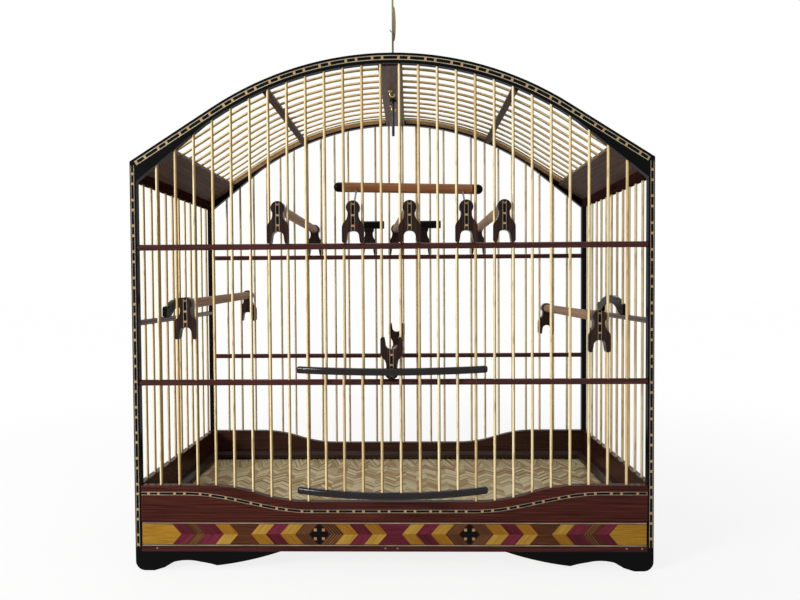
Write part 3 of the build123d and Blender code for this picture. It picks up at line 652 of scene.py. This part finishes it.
SQUARE = veneer("square", ((118, 84, 52), (158, 122, 84), (186, 152, 112)), 0, 9.5)
band = Inlay("marquetry_band", list(VENEERS.values()) + [SQUARE, INK, HAIR], "drawer", "marquetry")

# Half the band's height, the gap under it, how far a point leans over for each unit of height, and
# half the width of a joint. Then the height of the band's middle, and where the band ends.
HALF_H = 0.0098
LOW_GAP = 0.0001
LEAN = 0.87
JOINT = 0.00006
BAND_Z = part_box("drawer_front")[0][2] + LOW_GAP + HALF_H
BAND_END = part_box("drawer_front")[1][0] - END_GAP


# A joint is the place of its tip in mm and the side that it points to: 1 right, -1 left
def joint_x(joint, h):
    return joint[0] * MM - joint[1] * LEAN * h


# The cell between two joints, in two halves, above and below the band's middle
def veneer_cell(left, right, kind, level=False):
    for sz in (-1, 1):
        # The two halves of a cell take the lighter and the darker copy of its veneer, as painted sheen and
        # shade
        mat = VENEERS[(kind, 0 if level else -left[1] * sz)]
        corners = ((left, JOINT, 1), (right, JOINT, -1), (right, HALF_H, -1), (left, HALF_H, 1))
        points = [(joint_x(joint, h) + push * JOINT, FACE_Y, BAND_Z + sz * h) for joint, h, push in corners]
        band.face(points[::sz], mat)


# Where the brown and light stripes of a striped cell start and end, as shares of its width
STRIPE_SHARES = (0.0, 0.36, 0.415, 0.54, 0.595, 0.72, 0.775, 1.0)


def striped(left, right):
    point = left[1]
    places = STRIPE_SHARES if point > 0 else [1 - v for v in reversed(STRIPE_SHARES)]
    for k, (a, b) in enumerate(zip(places, places[1:])):
        x0, x1 = (left[0] + (right[0] - left[0]) * v for v in (a, b))
        veneer_cell((x0, point), (x1, point), "stripe" if k % 2 else "brown")


# Concentric diamond: rings of brown with a light line, round a black diamond with four small squares
RINGS = 5
RING_DARK_SHARE = 0.76
CORE_MM = 9.8
CORE_GAP_MM = 0.3
SQUARE_HALF = 0.0014
SQUARE_X, SQUARE_Z = 0.0039, 0.0043


def diamond(x0, x1):
    middle, reach = (x0 + x1) / 2, (x1 - x0) / 2
    rings = spaced(CORE_MM, reach, RINGS)
    for a, b in zip(rings, rings[1:]):
        cut = a + (b - a) * RING_DARK_SHARE
        for low, high, kind in ((a, cut, "brown"), (cut, b, "stripe")):
            veneer_cell((middle - high, -1), (middle - low, -1), kind)
            veneer_cell((middle + low, 1), (middle + high, 1), kind)
    x, tip = middle * MM, (CORE_MM - CORE_GAP_MM) * MM
    flat = tip - LEAN * HALF_H
    core = ((-tip, 0), (-flat, -HALF_H), (flat, -HALF_H), (tip, 0), (flat, HALF_H), (-flat, HALF_H))
    band.face([(x + dx, FACE_Y, BAND_Z + dz) for dx, dz in core], INK)
    for side in (-1, 1):
        for up in (-1, 1):
            sx, sz = x + side * SQUARE_X, BAND_Z + up * SQUARE_Z
            band.rectangle(sx - SQUARE_HALF, sx + SQUARE_HALF, sz - SQUARE_HALF, sz + SQUARE_HALF,
                           SQUARE, FACE_Y - PROUD)


# The yellow block between the outermost joint and the band's end on that side
def end_block(joint, side):
    tip, top = (joint_x(joint, h) + side * JOINT for h in (0, HALF_H))
    end = side * BAND_END
    outline = ((top, HALF_H), (tip, 0), (top, -HALF_H), (end, -HALF_H), (end, HALF_H))
    band.face([(x, FACE_Y, BAND_Z + dz) for x, dz in outline][::-side], VENEERS[("yellow", 0)])


# The band's joints from left to right, and what lies after each
BAND_CELLS = (
    (-205.0, 1, "purple"), (-193.0, 1, "striped"), (-180.3, 1, "purple"), (-163.6, 1, "yellow"),
    (-149.5, 1, "brown level"),
    (-137.1, -1, "yellow"), (-122.9, -1, "purple"), (-108.9, -1, "yellow"), (-94.7, -1, "diamond"),
    (-47.0, 1, "yellow"), (-33.2, 1, "purple"), (-19.2, 1, "yellow"), (-5.4, 1, "purple level"),
    (9.0, -1, "yellow"), (22.3, -1, "purple"), (37.0, -1, "yellow"), (50.6, -1, "diamond"),
    (97.5, 1, "yellow"), (112.2, 1, "purple"), (126.4, 1, "yellow"), (140.0, 1, "brown level"),
    (152.8, -1, "yellow"), (166.2, -1, "purple"), (180.8, -1, "striped"), (195.1, -1, "purple"),
    (207.6, -1, None),
)

# Thin light lines above the band and along the top of the strip below it
FINE_LINE = 0.0010
FINE_LINE_STEPS = 60
BAND_LINE_GAP = 0.0005
BAND_LINE_Z = BAND_Z + HALF_H + BAND_LINE_GAP
STRIP_LINE_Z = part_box("strip_front")[1][2] - LOW_GAP - FINE_LINE


def fine_line(inlay, z):
    places = spaced(-BAND_END, BAND_END, FINE_LINE_STEPS)
    for a, b in zip(places, places[1:]):
        inlay.rectangle(a, b, z, z + FINE_LINE, HAIR)


def marquetry_band():
    for (x0, p0, what), (x1, p1, _) in zip(BAND_CELLS, BAND_CELLS[1:]):
        if what == "diamond":
            diamond(x0, x1)
        elif what == "striped":
            striped((x0, p0), (x1, p1))
        else:
            veneer_cell((x0, p0), (x1, p1), what.split()[0], what.endswith("level"))
    end_block(BAND_CELLS[0][:2], -1)
    end_block(BAND_CELLS[-1][:2], 1)
    fine_line(band, BAND_LINE_Z)
    band.make()


def strip_line():
    line = Inlay("inlay_strip", [HAIR], "cage", "strip_wood")
    fine_line(line, STRIP_LINE_Z)
    line.make()


marquetry_band()
strip_line()

# Lines let into the front of each clip bracket: two hairlines with dashes and blocks between them.
# They run from just under the bracket's round end to the fork.
BRACKET_H = 0.0405
BRACKET_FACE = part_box("brackets_low")[0][1] - PROUD
BRACKET_LINE_W = 0.0038
BRACKET_HAIR = 0.0005
BRACKET_FORK = 0.0120
BRACKET_MARGIN = 0.0012
BRACKET_STEPS = 8
BRACKET_PATTERN = (
    (0.0014, INK), (0.0016, BROWN_LINE), (0.0086, INK), (0.0018, BEIGE), (0.0078, INK), (0.0018, BEIGE),
)
BRACKET_UNEVEN_SHARES = (0.9, 1.06)

# Gaps between wires, counted from the middle, where the brackets on the upper rail and the side ones are
UPPER_GAPS = (-6, -2, 1, 4, 6)
SIDE_GAP = 11
UPPER_TIP_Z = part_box("rail_front_upper")[1][2]
LOW_TIP_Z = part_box("brackets_low")[1][2]
SIDE_PERCH_Z = {-1: 0.2588, 1: 0.2447}
PERCH_OVER_TIP = 0.03385


# up is 1 for a bracket that stands on its fork's tips and -1 for one that hangs the other way up
def bracket_line(brackets, x, tip_z, up=1):
    low = tip_z + up * BRACKET_FORK
    high = tip_z + up * (BRACKET_H - BRACKET_MARGIN)
    half = BRACKET_LINE_W / 2
    places = spaced(low, high, BRACKET_STEPS)
    for left in (x - half, x + half - BRACKET_HAIR):
        for a, b in zip(places, places[1:]):
            brackets.rectangle(left, left + BRACKET_HAIR, a, b, HAIR, BRACKET_FACE)
    inner = half - BRACKET_HAIR
    uneven = random.uniform(*BRACKET_UNEVEN_SHARES)
    z = high
    for length, mat in BRACKET_PATTERN:
        end = z - up * length * uneven
        past = up * (end - low) < 0
        if past:
            end = low
        brackets.rectangle(x - inner, x + inner, end, z, mat, BRACKET_FACE)
        if past:
            break
        z = end


def bracket_lines():
    brackets = Inlay("inlay_brackets", LINE_SET + [BROWN_LINE], "cage", "bracket_wood")
    for gap in UPPER_GAPS:
        bracket_line(brackets, gap * PITCH, UPPER_TIP_Z)
    for side in (-1, 1):
        bracket_line(brackets, side * SIDE_GAP * PITCH, SIDE_PERCH_Z[side] - PERCH_OVER_TIP)
    bracket_line(brackets, 0.0, LOW_TIP_Z, -1)
    brackets.make()


bracket_lines()


# Plaited straw mat: low zigzag rows of crowned strips with dark edges, partly the straw's own browner edges
# and partly painted shade in the creases between strips, and one row of steep points along the back, as one
# closed sheet


def straw(name, tones, seed):
    return wood("straw_" + name, tones, fine=1600, length=260, rough=0.62, gloss=0.12, seed=seed,
                bump=0.2, patch=0.2)


STRAWS = [
    straw("pale", ((178, 165, 126), (210, 198, 160), (226, 218, 188)), 20.0),
    straw("mid", ((154, 138, 100), (188, 173, 134), (208, 194, 156)), 22.0),
    straw("tan", ((140, 112, 78), (172, 143, 106), (194, 168, 130)), 24.0),
    straw("dark_edge_and_shade", ((104, 72, 48), (138, 100, 70), (162, 126, 90)), 26.0),
]
# The dark edge straw is partly browner straw and partly painted shade where the strips meet; the sheet's
# rim and bottom are of it too
DARK_EDGE_AND_SHADE = 3
TONE_WEIGHTS = (5, 4, 2)

# A leg is one straight stretch of a zigzag. Rows are as deep as a strip, from its edge to the next one's.
LEGS = 40
FIELD_ROW = 0.0098
BORDER_ROW = 0.0072
BORDER = 0.040
RELIEF = 0.0006
LEG_SHARES = (0.0, 0.12, 0.5, 0.88)
ROW_SHARES = (0.0, 0.1, 0.25, 0.5, 0.75, 0.9)
SWELL_SHARES = (0.75, 1.0)
CROWN_END_SHARE = 0.55
# Shares of a row that are dark, browner straw with painted crease shade, and how often a strip goes on with
# others than the strip beside it
EDGE_SHARES = ((), (0.0,), (0.0,), (0.9,), (0.0, 0.1))
EDGE_CHANGE = 0.3
NEAR = 1e-6
MERGED = 2e-5


# Tone and swell of each strip, and its dark edges, which run on over some legs
def strip_looks(rows):
    looks, edges = {}, {}
    for j in range(rows):
        for i in range(LEGS):
            tone = random.choices(range(len(TONE_WEIGHTS)), TONE_WEIGHTS)[0]
            looks[(i, j)] = (tone, random.uniform(*SWELL_SHARES))
            if i == 0 or random.random() < EDGE_CHANGE:
                run = random.choice(EDGE_SHARES)
            edges[(i, j)] = run
    return looks, edges


# Rows of strips from low to high, which zigzag by lean and are cut off flat at both edges
def plait(verts, faces, which, low, high, lean, row):
    (x0, _, _), (x1, _, top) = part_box("straw_mat")
    rows = math.ceil((high - low + lean) / row)
    across = [(i, v) for i in range(LEGS) for v in LEG_SHARES] + [(LEGS, 0.0)]
    along = [(j, u) for j in range(rows) for u in ROW_SHARES] + [(rows, 0.0)]
    looks, edges = strip_looks(rows)
    start, wide = len(verts), len(across)
    for j, u in along:
        for i, v in across:
            zig = v if i % 2 == 0 else 1 - v
            y = low - lean + (j + u) * row + zig * lean
            swell = looks[(min(i, LEGS - 1), min(j, rows - 1))][1]
            leg_crown = CROWN_END_SHARE + (1 - CROWN_END_SHARE) * math.sin(math.pi * v)
            crown = (1 - abs(2 * u - 1) ** 3) * leg_crown * swell
            if not low + NEAR < y < high - NEAR:
                y, crown = min(max(y, low), high), 0.0
            verts.append((x0 + (i + v) * (x1 - x0) / LEGS, y, top - RELIEF + RELIEF * crown))
    for b, (j, u) in enumerate(along[:-1]):
        for a, (i, v) in enumerate(across[:-1]):
            k = start + b * wide + a
            quad = (k, k + 1, k + wide + 1, k + wide)
            places = [verts[corner][1] for corner in quad]
            if max(places) >= low + 2 * NEAR and min(places) <= high - 2 * NEAR:
                faces.append(quad)
                which.append(DARK_EDGE_AND_SHADE if u in edges[(i, j)] else looks[(i, j)][0])


# Joins the rows, and closes the sheet with a rim and a flat bottom at this height
def close_sheet(mesh, bottom_z):
    bm = bmesh.new()
    bm.from_mesh(mesh)
    bmesh.ops.remove_doubles(bm, verts=bm.verts, dist=MERGED)
    bmesh.ops.dissolve_degenerate(bm, dist=NEAR, edges=bm.edges)
    loose = [v for v in bm.verts if not v.link_faces]
    bmesh.ops.delete(bm, geom=loose, context="VERTS")
    rim = [e for e in bm.edges if len(e.link_faces) == 1]
    made = bmesh.ops.extrude_edge_only(bm, edges=rim)["geom"]
    for v in made:
        if isinstance(v, bmesh.types.BMVert):
            v.co.z = bottom_z
    low_rim = [e for e in made if isinstance(e, bmesh.types.BMEdge) and len(e.link_faces) == 1]
    for face in bmesh.ops.contextual_create(bm, geom=low_rim)["faces"]:
        face.material_index = DARK_EDGE_AND_SHADE
        face.smooth = False
    bmesh.ops.recalc_face_normals(bm, faces=bm.faces)
    bm.to_mesh(mesh)
    bm.free()


def woven_mat():
    (x0, y0, z0), (x1, y1, _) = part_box("straw_mat")
    verts, faces, which = [], [], []
    plait(verts, faces, which, y0, y1 - BORDER, (x1 - x0) / LEGS, FIELD_ROW)
    plait(verts, faces, which, y1 - BORDER, y1, BORDER, BORDER_ROW)
    obj = new_object("straw_mat_woven", verts, faces, STRAWS, which)
    obj.data.polygons.foreach_set("use_smooth", [True] * len(faces))
    close_sheet(obj.data, z0)
    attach(obj, "drawer")
    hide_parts("straw_mat")


woven_mat()

# The hanger's second strand: it bows away from the wire between its two bound ends, with a short loose
# end that goes round the wire. Its thin radius is that of the loose end and of the bound ends.
STRAND_LOW, STRAND_HIGH = (corner[2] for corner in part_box("hanger_strand"))
STRAND_THIN_R = 0.00045
STRAND_SWELL = 0.0007
STRAND_X = 0.00155
STRAND_BOW = 0.0008
STRAND_WAVE = 0.0003
STRAND_WAVE_TURN = 9
STRAND_FULLNESS = 0.55
STRAND_BELOW, STRAND_ABOVE = 0.003, 0.001
STRAND_STEPS = 40
LOOSE_Z = STRAND_LOW + 0.0090
LOOSE_DROP = 0.006
LOOSE_R = 0.00158
LOOSE_REACH = 0.0017
LOOSE_REACH_SHARE = 0.3
LOOSE_FROM, LOOSE_TURN = 200, 260
LOOSE_STEPS = 24
TUBE_SIDES = 12
# No stretch of the strand runs this way, so each ring of a tube can be laid out from it
ACROSS = Vector((0, 1, 0.01))


# A round tube along the points, closed at both ends
def tube(verts, faces, points, radii):
    start = len(verts)
    for k, p in enumerate(points):
        d = (points[min(k + 1, len(points) - 1)] - points[max(k - 1, 0)]).normalized()
        u = d.cross(ACROSS).normalized()
        v = d.cross(u).normalized()
        for s in range(TUBE_SIDES):
            turn = 2 * math.pi * s / TUBE_SIDES
            verts.append(tuple(p + (u * math.cos(turn) + v * math.sin(turn)) * radii[k]))
    for ring in range(start, len(verts) - TUBE_SIDES, TUBE_SIDES):
        for s in range(TUBE_SIDES):
            a, b = ring + s, ring + (s + 1) % TUBE_SIDES
            faces.append((a, b, b + TUBE_SIDES, a + TUBE_SIDES))
    faces.append(tuple(range(start + TUBE_SIDES - 1, start - 1, -1)))
    faces.append(tuple(range(len(verts) - TUBE_SIDES, len(verts))))


def bowed_stretch(verts, faces):
    points, radii = [], []
    rise = STRAND_HIGH - STRAND_LOW + STRAND_BELOW + STRAND_ABOVE
    for t in spaced(0.0, 1.0, STRAND_STEPS):
        swell = math.sin(math.pi * t) ** STRAND_FULLNESS if 0 < t < 1 else 0.0
        x = STRAND_X + STRAND_BOW * swell
        y = MID_Y + STRAND_WAVE * math.sin(STRAND_WAVE_TURN * t)
        points.append(Vector((x, y, STRAND_LOW - STRAND_BELOW + rise * t)))
        radii.append(STRAND_THIN_R + STRAND_SWELL * swell)
    tube(verts, faces, points, radii)


def loose_end(verts, faces):
    points = []
    for t in spaced(0.0, 1.0, LOOSE_STEPS):
        turn = math.radians(LOOSE_FROM - LOOSE_TURN * t)
        reach = LOOSE_R + LOOSE_REACH * max(0.0, LOOSE_REACH_SHARE - t) / LOOSE_REACH_SHARE
        x, y = reach * math.cos(turn), MID_Y + reach * math.sin(turn)
        points.append(Vector((x, y, LOOSE_Z - LOOSE_DROP * t)))
    tube(verts, faces, points, [STRAND_THIN_R] * len(points))


def second_strand():
    verts, faces = [], []
    bowed_stretch(verts, faces)
    loose_end(verts, faces)
    obj = new_object("hanger_strand_bowed", verts, faces, [OLIVE])
    bm = bmesh.new()
    bm.from_mesh(obj.data)
    bmesh.ops.recalc_face_normals(bm, faces=bm.faces)
    bm.to_mesh(obj.data)
    bm.free()
    for poly in obj.data.polygons:
        poly.use_smooth = len(poly.vertices) == 4
    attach(obj, "hanger")
    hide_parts("hanger_strand")


second_strand()


# Floor, world and lights


# 1 for a ray that comes straight from the camera, or by way of gloss or glass, and 0 for any other
def seen_directly(tree):
    path = tree.nodes.new("ShaderNodeLightPath")
    found = path.outputs["Is Camera Ray"]
    for ray in ("Is Glossy Ray", "Is Transmission Ray"):
        most = tree.nodes.new("ShaderNodeMath")
        most.operation = "MAXIMUM"
        tree.links.new(found, most.inputs[0])
        tree.links.new(path.outputs[ray], most.inputs[1])
        found = most.outputs[0]
    return found


WHITE = (1, 1, 1, 1)
WHITE_STRENGTH = 1.0
FLOOR_TONE = (0.86, 0.86, 0.86, 1)
FLOOR_ROUGHNESS = 0.7
FLOOR_Z = -0.0002
FLOOR_RADIUS = 12.0
FLOOR_SIDES = 96
# The floor fades into the white behind it: these are the shares of its look that are plain white, near
# the object, where its shadow falls, and further out, and the distances over which they change
GLOW_SHARES = (0.84, 0.99)
GLOW_REACH = (0.3, 1.1)


def pale_floor():
    mat = bpy.data.materials.new("floor_pale")
    mat.use_nodes = True
    tree = mat.node_tree
    shader = tree.nodes["Principled BSDF"]
    shader.inputs["Base Color"].default_value = FLOOR_TONE
    shader.inputs["Roughness"].default_value = FLOOR_ROUGHNESS
    glow = tree.nodes.new("ShaderNodeEmission")
    glow.inputs["Color"].default_value = WHITE
    glow.inputs["Strength"].default_value = WHITE_STRENGTH
    coord = tree.nodes.new("ShaderNodeTexCoord")
    far = tree.nodes.new("ShaderNodeVectorMath")
    far.operation = "LENGTH"
    reach = tree.nodes.new("ShaderNodeMapRange")
    reach.interpolation_type = "SMOOTHSTEP"
    for key, value in zip(("From Min", "From Max", "To Min", "To Max"), GLOW_REACH + GLOW_SHARES):
        reach.inputs[key].default_value = value
    share = tree.nodes.new("ShaderNodeMath")
    share.operation = "MULTIPLY"
    blend = tree.nodes.new("ShaderNodeMixShader")
    tree.links.new(coord.outputs["Object"], far.inputs[0])
    tree.links.new(far.outputs["Value"], reach.inputs["Value"])
    tree.links.new(seen_directly(tree), share.inputs[0])
    tree.links.new(reach.outputs["Result"], share.inputs[1])
    tree.links.new(share.outputs[0], blend.inputs[0])
    tree.links.new(shader.outputs[0], blend.inputs[1])
    tree.links.new(glow.outputs[0], blend.inputs[2])
    tree.links.new(blend.outputs[0], tree.nodes["Material Output"].inputs["Surface"])
    return mat


def floor():
    turns = [2 * math.pi * k / FLOOR_SIDES for k in range(FLOOR_SIDES)]
    rim = [(FLOOR_RADIUS * math.cos(turn), FLOOR_RADIUS * math.sin(turn), FLOOR_Z) for turn in turns]
    faces = [(0, 1 + k, 1 + (k + 1) % FLOOR_SIDES) for k in range(FLOOR_SIDES)]
    obj = new_object("floor", [(0, 0, FLOOR_Z)] + rim, faces, [pale_floor()])


floor()

WORLD_LIGHT = 0.30


def world():
    studio = bpy.data.worlds.new("studio")
    bpy.context.scene.world = studio
    studio.use_nodes = True
    tree = studio.node_tree
    back = tree.nodes["Background"]
    back.inputs["Color"].default_value = WHITE
    back.inputs["Strength"].default_value = WORLD_LIGHT
    seen = tree.nodes.new("ShaderNodeBackground")
    seen.inputs["Color"].default_value = WHITE
    seen.inputs["Strength"].default_value = WHITE_STRENGTH
    blend = tree.nodes.new("ShaderNodeMixShader")
    tree.links.new(seen_directly(tree), blend.inputs[0])
    tree.links.new(back.outputs[0], blend.inputs[1])
    tree.links.new(seen.outputs[0], blend.inputs[2])
    tree.links.new(blend.outputs[0], tree.nodes["World Output"].inputs["Surface"])


world()


def area(name, place, target, size, power):
    data = bpy.data.lights.new(name, "AREA")
    data.shape = "RECTANGLE"
    data.size = data.size_y = size
    data.energy = power
    obj = bpy.data.objects.new(name, data)
    obj.location = place
    obj.rotation_euler = (Vector(target) - Vector(place)).to_track_quat("-Z", "Y").to_euler()
    bpy.context.collection.objects.link(obj)


area("key", place=(-1.3, -1.05, 0.75), target=(0, 0, 0.25), size=0.5, power=25)
area("fill", place=(1.8, -1.5, 0.9), target=(0, 0, 0.25), size=1.4, power=2)
area("top", place=(0.0, 0.2, 2.4), target=(0, 0, 0.2), size=1.6, power=16)

bpy.context.scene.view_settings.view_transform = "Standard"
